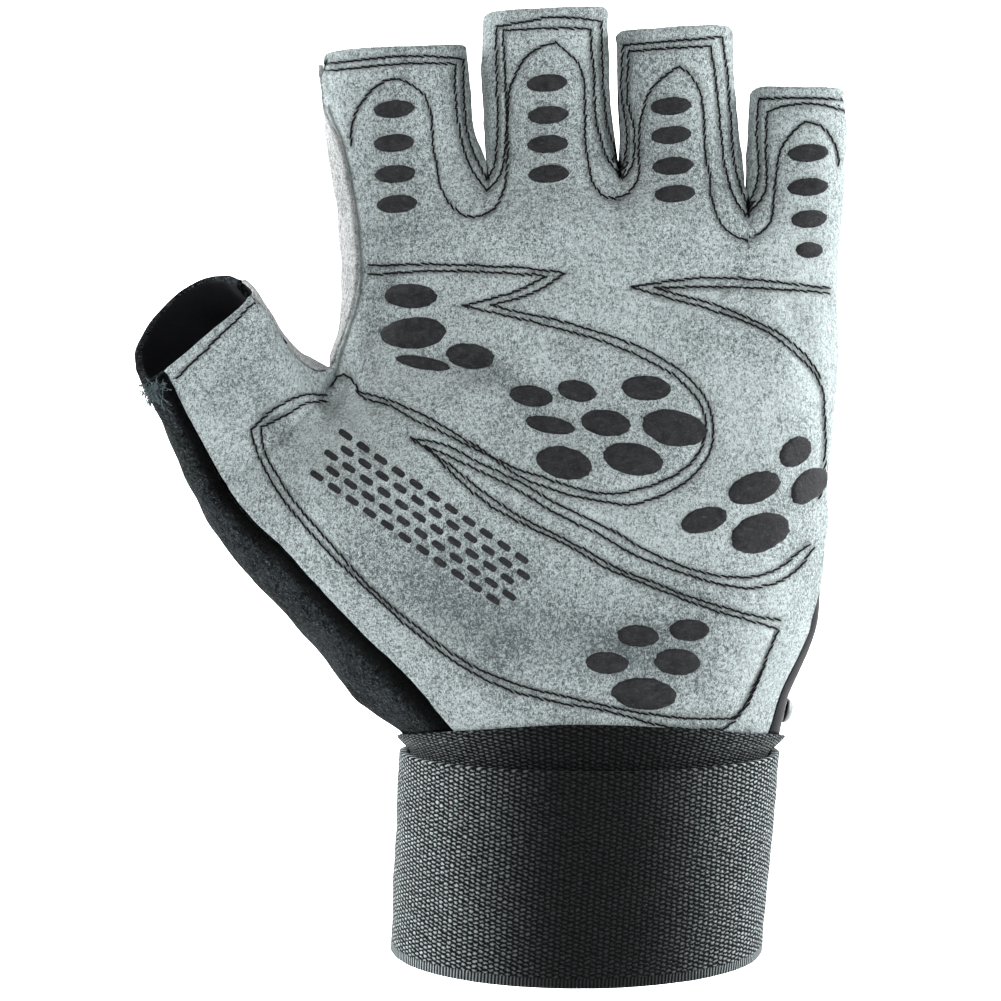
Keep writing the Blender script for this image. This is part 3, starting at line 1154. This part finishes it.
def wrapSection(start, end, spread, wall, lift, height, steps, laps, shares):
    angle = np.linspace(start, end, steps + 1)
    slope = band["lapSlope"] / (0.5 * band["wristWidth"])
    climb = ease((angle - band["start"] - 2 * np.pi) / slope + 1.1) * laps
    lap = climb * (band["wrapWall"] + band["patchWall"] + 2 * band["wrapClear"])
    lines = []
    for share, out in shares:
        level = (lift + np.clip(share, -0.01, 1.01) * height) / up(band["topRow"])
        row = chart["mouthRow"] - level * (chart["mouthRow"] - band["topRow"])
        x, y = ringPoint(angle, row, band["cuffWall"] + spread + lap + wall * out)
        lines.append(np.stack([x, y, up(row) - wrapDrop(angle, row)], axis=-1))
    return np.array(lines), angle


mesh = cuffMesh()
dress("cuffElastic", mesh, [cuffWeave], ["cuff_band"])

wrapEnd = band["start"] + band["wrapLap"] / (0.5 * band["wristWidth"])
shares = wallSection(np.linspace(0, 1, 26), 0.006)
section, angle = wrapSection(band["start"], wrapEnd + 2 * np.pi, band["wrapClear"], band["wrapWall"],
                             0.0, up(band["topRow"]), band["wrapSteps"], 1, shares)
flat = section.reshape(-1, 3)
middle = np.array([across(chart["mouthCol"]), 0, 0])
outward = (flat - middle) * (1, 1, 0)
outward /= np.linalg.norm(outward, axis=1, keepdims=True)
wave = 0.00016 * ripples(flat, 0.016, 21) + 0.00008 * ripples(flat, 0.005, 22)
section = (flat + outward * wave[:, None]).reshape(section.shape)
mesh = bandMesh("wrapElastic", section, bandUv(section, shares, False), False)
wrapTree = BVHTree.FromPolygons([v.co[:] for v in mesh.vertices], [f.vertices[:] for f in mesh.polygons])
keepShade(mesh, bandShade(section))
dress("wrapElastic", mesh, [wrapWeave], ["wrist_wrap"])

spare = band["patchSpare"] / (0.5 * band["wristWidth"])
lift = 0.5 * (up(band["topRow"]) - band["patchHeight"])
shares = wallSection(np.linspace(0, 1, 12), 0.0)
section, angle = wrapSection(band["start"] + spare, wrapEnd - spare, band["wrapWall"] + 2 * band["wrapClear"],
                             band["patchWall"], lift, band["patchHeight"], 60, 0, shares)
mesh = bandMesh("hookPatch", section, bandUv(section, shares, False), False)
dress("hookPatch", mesh, [knit], ["fastener_patch"])
print("cuff and wrap done")

# Rays from the eye through a place of the chart onto the finished palm
eye = Vector((float(across(chart["eyeCol"])), -chart["eyeDistance"], float(up(chart["eyeRow"]))))


def onPalm(cols, rows):
    # where the ray through each chart place meets the palm, and the palm's direction there
    found, facing = np.zeros((len(cols), 3)), np.zeros((len(cols), 3))
    for number, (x, z) in enumerate(zip(across(cols), up(rows))):
        way = (Vector((x, 0, z)) - eye).normalized()
        spot, normal, _, _ = palmTree.ray_cast(eye, way)
        if spot is None:
            spot, normal, _, _ = palmTree.find_nearest(Vector((x, -0.01, z)))
        found[number], facing[number] = spot, normal
    return found, facing


stitchLook = {
    "pitch": 7.6,  # chart steps from one needle hole to the next
    "gap": -0.45,
    "radius": 0.00019,
    "rise": 0.00013,
    "dip": 0.0,
    "slant": 0.85,
    "wander": 0.35,
    "sides": 5,
}


def stitchMesh(name, starts, ends, cast, radius):
    # each stitch is a tube of four rings: it comes up out of the cloth, lies on it and goes down
    shares = np.array([0.0, 0.28, 0.72, 1.0])
    heights = np.array([stitchLook["dip"], stitchLook["rise"], stitchLook["rise"], stitchLook["dip"]])
    sizes = np.array([0.7, 1.0, 1.0, 0.7]) * radius
    spots = starts[:, None] + (ends - starts)[:, None] * shares[None, :, None]
    found, facing = cast(spots[..., 0].ravel(), spots[..., 1].ravel())
    found, facing = found.reshape(-1, 4, 3), facing.reshape(-1, 4, 3)
    facing = facing.mean(axis=1, keepdims=True) + 0 * facing
    facing /= np.linalg.norm(facing, axis=2, keepdims=True)
    centre = found + facing * heights[None, :, None]
    way = (found[:, -1] - found[:, 0])[:, None] + 0 * found
    way /= np.maximum(np.linalg.norm(way, axis=2, keepdims=True), 1e-9)
    side = np.cross(way, facing)
    sides = stitchLook["sides"]
    turn = 2 * np.pi * np.arange(sides) / sides
    ring = np.cos(turn)[:, None] * side[:, :, None] + np.sin(turn)[:, None] * facing[:, :, None]
    points = centre[:, :, None] + ring * sizes[None, :, None, None]
    count = len(points)
    index = np.arange(count * 4 * sides).reshape(count, 4, sides)
    around = np.roll(index, -1, axis=2)
    square = np.stack([index[:, :-1], index[:, 1:], around[:, 1:], around[:, :-1]], axis=-1).reshape(-1, 4)
    caps = index[:, 0].tolist() + index[:, -1, ::-1].tolist()
    return makeMesh(name, points.reshape(-1, 3), square.tolist() + caps)


def stitchEnds(line, pitch):
    # needle holes at even steps, each stitch a little slanted and off the line
    holes = smoothLine(line, pitch)
    leg = np.diff(holes, axis=0)
    length = np.maximum(np.linalg.norm(leg, axis=1, keepdims=True), 1e-9)
    way = leg / length
    side = np.stack([-way[:, 1], way[:, 0]], axis=-1)
    wander = stitchLook["wander"] * rng.normal(size=(len(leg), 1))
    slant = stitchLook["slant"] * (1 + 0.3 * rng.normal(size=(len(leg), 1)))
    starts = holes[:-1] + way * stitchLook["gap"] + side * (wander - slant)
    ends = holes[1:] - way * stitchLook["gap"] + side * (wander + slant)
    return starts, ends


pairs = [stitchEnds(line, stitchLook["pitch"]) for line in sewnLines]
starts, ends = np.concatenate([pair[0] for pair in pairs]), np.concatenate([pair[1] for pair in pairs])
mesh = stitchMesh("palmStitches", starts, ends, onPalm, stitchLook["radius"])
dress("palmStitches", mesh, [thread])
print("stitches", len(starts))


def onBack(cols, rows):
    # straight from behind onto the back of the hand
    found, facing = np.zeros((len(cols), 3)), np.zeros((len(cols), 3))
    for number, (x, z) in enumerate(zip(across(cols), up(rows))):
        spot, normal, _, _ = backTree.ray_cast(Vector((x, 0.2, z)), Vector((0, -1, 0)))
        if spot is None:
            spot, normal, _, _ = backTree.find_nearest(Vector((x, 0.012, z)))
        found[number], facing[number] = spot, np.array(normal) * np.sign(normal[1])
    return found, facing


def onWrap(cols, rows):
    # level rays onto the wrap, where a column is a step of its length
    found, facing = np.zeros((len(cols), 3)), np.zeros((len(cols), 3))
    for number, (run, z) in enumerate(zip(cols * chart["step"] / (0.5 * band["wristWidth"]), up(rows))):
        out = Vector((math.cos(run), math.sin(run), 0))
        start = Vector((float(across(chart["mouthCol"])), 0, z)) + 0.1 * out
        spot, normal, _, _ = wrapTree.ray_cast(start, -out)
        found[number] = spot
        facing[number] = np.array(normal) * np.sign(normal.dot(out))
    return found, facing


hemLines = (
    ((334, 72), (456, 62)), ((500, 28), (598, 24)), ((632, 49), (724, 44)), ((762, 104), (838, 106)),
    ((472, 722), (560, 724), (660, 724), (770, 722)), ((472, 716), (560, 718), (660, 718), (770, 716)),
    ((424, 640), (396, 560), (372, 490), (356, 430)),
)
pairs = [stitchEnds(line, stitchLook["pitch"]) for line in hemLines]
starts, ends = np.concatenate([pair[0] for pair in pairs]), np.concatenate([pair[1] for pair in pairs])
dress("backStitches", stitchMesh("backStitches", starts, ends, onBack, stitchLook["radius"]), [thread])
lapEnd = (wrapEnd + 2 * np.pi) * 0.5 * band["wristWidth"] / chart["step"]
pairs = [stitchEnds(((lapEnd - away, 772), (lapEnd - away, 928)), stitchLook["pitch"]) for away in (10, 17)]
starts, ends = np.concatenate([pair[0] for pair in pairs]), np.concatenate([pair[1] for pair in pairs])
dress("lapStitches", stitchMesh("lapStitches", starts, ends, onWrap, stitchLook["radius"]), [thread])

# Raised rubber ellipses: place, column, row, width, height, turn in degrees
dots = (
    ("index", 394, 109, 41, 18, 5), ("index", 394, 143, 41, 18, 5),
    ("index", 395, 174, 41, 18, 4), ("index", 397, 204, 41, 18, 4),
    ("middle", 547, 83, 41, 18, 5), ("middle", 548, 115, 41, 18, 5),
    ("middle", 548, 144, 41, 18, 4), ("middle", 549, 174, 41, 18, 4),
    ("ring", 671, 106, 41, 18, 5), ("ring", 671, 135, 41, 18, 5),
    ("ring", 673, 166, 41, 18, 4), ("ring", 675, 194, 41, 17, 4),
    ("pinky", 808, 153, 41, 18, 4), ("pinky", 808, 187, 41, 18, 4),
    ("pinky", 809, 219, 36, 18, 4), ("pinky", 809, 250, 27, 16, 0),
    ("upper", 411, 296, 52, 25, -2), ("upper", 414, 333, 65, 32, 5),
    ("upper", 423, 363, 55, 13, -10), ("upper", 470, 356, 49, 25, -8),
    ("centre", 531, 396, 44, 21, -8), ("centre", 577, 391, 39, 21, -12),
    ("centre", 646, 388, 50, 25, -3), ("centre", 550, 425, 51, 17, -10),
    ("centre", 606, 423, 50, 26, -8), ("centre", 674, 428, 65, 36, -10),
    ("centre", 564, 463, 57, 32, -12), ("centre", 633, 459, 61, 32, -10),
    ("edge", 795, 452, 36, 26, 45), ("edge", 808, 486, 43, 27, 50),
    ("edge", 754, 488, 54, 30, 20), ("edge", 704, 520, 47, 25, 15),
    ("edge", 760, 533, 60, 38, 20),
    ("heel", 638, 636, 42, 22, -3), ("heel", 689, 630, 40, 22, 0),
    ("heel", 607, 663, 43, 22, -3), ("heel", 677, 662, 46, 27, -3),
    ("heel", 644, 694, 65, 32, -5),
)
dotLook = {"height": 0.00062, "foot": -0.0003, "sides": 36, "rough": 0.02}


def padShape(outline, height):
    # rings of an outline drawn in towards its middle: the rise is a flat superellipse, so the
    # print has a level top and a round shoulder, and a skirt goes down into the suede
    rings = np.array([1.0, 1.0, 0.965, 0.91, 0.82, 0.62, 0.35, 0.0001])
    rise = height * (1 - rings**9) ** 0.5
    rise[0] = dotLook["foot"]
    middle = outline.mean(axis=0)
    spots = middle + (outline - middle)[None] * rings[:, None, None]
    found, facing = onPalm(spots[..., 0].ravel(), spots[..., 1].ravel())
    facing = facing.mean(axis=0) / np.linalg.norm(facing.mean(axis=0))
    points = found.reshape(len(rings), -1, 3)
    depth = points @ facing
    smooth = depth.mean() + 0.6 * (depth - depth.mean())
    points = points + (smooth - depth + rise[:, None])[..., None] * facing
    rows, columns = points.shape[:2]
    index = np.arange(rows * columns).reshape(rows, columns)
    index = np.concatenate([index, index[:, :1]], axis=1)
    square = np.stack([index[:-1, 1:], index[:-1, :-1], index[1:, :-1], index[1:, 1:]], axis=-1).reshape(-1, 4)
    caps = [index[0, :-1].tolist(), index[-1, :-1][::-1].tolist()]
    return points.reshape(-1, 3), square.tolist() + caps


def padOutline(col, row, wide, high, turn, sides, power):
    # an oval, or with a power under 1 a bar with round corners, with a slightly uneven edge
    angle = 2 * np.pi * (np.arange(sides) + 0.5) / sides
    edge = 1 + dotLook["rough"] * rng.normal(size=sides)
    x = 0.5 * wide * np.sign(np.cos(angle)) * np.abs(np.cos(angle)) ** power * edge
    y = 0.5 * high * np.sign(np.sin(angle)) * np.abs(np.sin(angle)) ** power * edge
    turn = math.radians(turn)
    return np.stack([
        col + x * math.cos(turn) - y * math.sin(turn), row - x * math.sin(turn) - y * math.cos(turn),
    ], axis=-1)


for number, (place, col, row, wide, high, turn) in enumerate(dots):
    outline = padOutline(col, row, wide, high, turn, dotLook["sides"], 1.0)
    name = f"gripDot{place.title()}{number + 1:02d}"
    mesh = makeMesh(name, *padShape(outline, dotLook["height"]))
    dress(name, mesh, [rubber], [f"grip_dot_{place}_{number + 1:02d}"])
print("dots done")

# Plain printed grip bars, all alike, in five even rows over the thumb pad
bars = {
    "start": (342, 440), "rows": 5, "columns": 11, "pitch": 21.5, "rowPitch": 12.5, "turn": -35,
    "wide": 15, "high": 6.5, "height": 0.00035,
}
turn = math.radians(-bars["turn"])
points, faces = [], []
for row in range(bars["rows"]):
    for column in range(bars["columns"]):
        run, off = bars["pitch"] * (column + 0.5 * (row % 2)), bars["rowPitch"] * (row - 0.5)
        place = (bars["start"][0] + run * math.cos(turn) - off * math.sin(turn),
                 bars["start"][1] + run * math.sin(turn) + off * math.cos(turn))
        outline = padOutline(*place, bars["wide"], bars["high"], bars["turn"], 20, 0.55)
        spots, squares = padShape(outline, bars["height"])
        faces += [[index + sum(map(len, points)) for index in square] for square in squares]
        points.append(spots)
dress("gripBars", makeMesh("gripBars", np.concatenate(points), faces), [rubber])

# Gathered yarn ends that fray out where the knit's hem meets the thumb's opening
tuft = {"col": 151, "row": 386, "spread": 5.0, "ends": 260, "length": 0.0021, "radius": 0.00008, "steps": 9}
spots = rng.normal(size=(tuft["ends"], 2)) * tuft["spread"] + (tuft["col"], tuft["row"])
lines = []
for x, z in zip(across(spots[:, 0]), up(spots[:, 1])):
    way = (Vector((x, 0, z)) - eye).normalized()
    spot, normal, _, _ = knitTree.ray_cast(eye, way)
    if spot is None:
        spot, normal, _, _ = knitTree.find_nearest(Vector((x, -0.012, z)))
    normal = np.array(normal) * np.sign(-np.dot(normal, way))
    heading = normal * 0.55 + rng.normal(size=3) * 0.30 + (0, 0, -0.5)
    curl = rng.normal(size=3) * 0.35 - normal * 0.75 + (0, 0, -0.2)
    share = np.linspace(0, 1, tuft["steps"])[:, None]
    size = tuft["length"] * (0.5 + rng.random())
    lines.append(np.array(spot) - 0.0002 * normal + size * (heading * share + curl * share**2))
lines = np.array(lines)
mesh = makeMesh("frayedYarn", *tubes(lines, tuft["radius"], 5))
dress("frayedYarn", mesh, [yarn])
print("bars and yarn done")

# The rubber tab beside the heel: a flat dome, darker round its rim
tab = {"row": 711, "reach": 15, "wide": 0.0080, "high": 0.0050, "wall": 0.0017, "sides": 48, "rings": 14}


def tabMesh():
    above, below = smoothRead(handRight, tab["row"] - tab["reach"]), smoothRead(handRight, tab["row"] + tab["reach"])
    lean = math.atan((above - below) / (2 * tab["reach"]))
    turn = 2 * np.pi * np.arange(tab["sides"]) / tab["sides"]
    share = np.linspace(0, 1, tab["rings"])[:, None]
    share = np.minimum(share, 0.999)
    size, lift = np.cos(0.5 * np.pi * share), np.sin(0.5 * np.pi * share) ** 0.8
    high, deep = 0.5 * tab["high"] * size * np.sin(turn), 0.5 * tab["wide"] * size * np.cos(turn)
    out = tab["wall"] * lift + 0 * high
    x = across(smoothRead(handRight, tab["row"])) + 2 * form["seamGap"]
    x = x + out * math.cos(lean) + high * math.sin(lean)
    z = up(tab["row"]) + high * math.cos(lean) - out * math.sin(lean)
    points = np.stack([x, deep + 0.3 * tab["wide"], z], axis=-1)
    rows, columns = points.shape[:2]
    index = np.arange(rows * columns).reshape(rows, columns)
    index = np.concatenate([index, index[:, :1]], axis=1)
    square = np.stack([index[:-1, :-1], index[:-1, 1:], index[1:, 1:], index[1:, :-1]], axis=-1).reshape(-1, 4)
    caps = [index[0, :-1][::-1].tolist(), index[-1, :-1].tolist()]
    mesh = makeMesh("sideTab", points.reshape(-1, 3), square.tolist() + caps)
    keepShade(mesh, np.repeat(np.exp(-share[:, 0] / 0.12), columns))
    return mesh


dress("sideTab", tabMesh(), [tabRubber], ["side_tab"])

# Floor, lights and camera
studio = {
    "floorHeight": -0.16, "floorDepth": 0.75, "floorColour": (0.92, 0.92, 0.92),
    "keyPower": 5.0, "fillPower": 2.0, "leftPower": 3.4, "rightPower": 4.6, "backPower": 30.0, "world": 0.12,
}


def sweepMesh():
    # a level floor that turns up in a quarter circle behind the glove
    turn = np.linspace(0, 0.5 * np.pi, 24)
    radius = 0.5
    y = np.concatenate([[-3.0], studio["floorDepth"] + radius * np.sin(turn), [studio["floorDepth"] + radius]])
    z = np.concatenate([[0.0], radius * (1 - np.cos(turn)), [3.0]]) + studio["floorHeight"]
    x = np.array([-3.0, 3.0])
    points = np.stack([np.tile(x, len(y)), np.repeat(y, 2), np.repeat(z, 2)], axis=-1)
    index = np.arange(len(points)).reshape(-1, 2)
    square = np.stack([index[:-1, 0], index[:-1, 1], index[1:, 1], index[1:, 0]], axis=-1)
    return makeMesh("floor", points, square.tolist())


floorPaint = Paint("paleFloor", roughness=0.9, specularIorLevel=0.1)
floorPaint.finish(floorPaint.mix(floorPaint.noise(floorPaint.place(), 3.0), studio["floorColour"], (0.93, 0.93, 0.93)))
floorMesh = sweepMesh()
floorMesh.materials.append(floorPaint.material)
floor = bpy.data.objects.new("floor", floorMesh)
bpy.context.scene.collection.objects.link(floor)


def softLight(name, spot, target, size, power):
    lamp = bpy.data.lights.new(name, "AREA")
    lamp.shape, lamp.size, lamp.energy = "SQUARE", size, power
    holder = bpy.data.objects.new(name, lamp)
    holder.location = spot
    holder.rotation_euler = (Vector(target) - Vector(spot)).to_track_quat("-Z", "Y").to_euler()
    bpy.context.scene.collection.objects.link(holder)


centre = (-0.01, 0, 0.095)
softLight("keyLight", (-0.22, -0.72, 0.50), centre, 0.5, studio["keyPower"])
softLight("fillLight", (0.42, -0.70, 0.12), centre, 0.5, studio["fillPower"])
softLight("leftRim", (-0.60, 0.05, 0.25), centre, 0.4, studio["leftPower"])
softLight("rightRim", (0.60, -0.05, 0.20), centre, 0.4, studio["rightPower"])
softLight("leftBack", (-0.7, 0.35, 0.5), (0.0, 1.25, 0.2), 0.5, studio["backPower"])
softLight("rightBack", (0.7, 0.35, 0.5), (0.0, 1.25, 0.2), 0.5, studio["backPower"])

world = bpy.data.worlds.new("studioWorld")
world.use_nodes = True
world.node_tree.nodes["Background"].inputs["Color"].default_value = (1, 1, 1, 1)
world.node_tree.nodes["Background"].inputs["Strength"].default_value = studio["world"]
bpy.context.scene.world = world
bpy.context.scene.view_settings.view_transform = "Standard"

camera = bpy.data.cameras.new("camera")
camera.sensor_width = 36
camera.lens = 36 * chart["eyeDistance"] / (1001 * chart["step"])
viewer = bpy.data.objects.new("camera", camera)
viewer.location = eye
viewer.rotation_euler = (math.pi / 2, 0, 0)
bpy.context.scene.collection.objects.link(viewer)
bpy.context.scene.camera = viewer
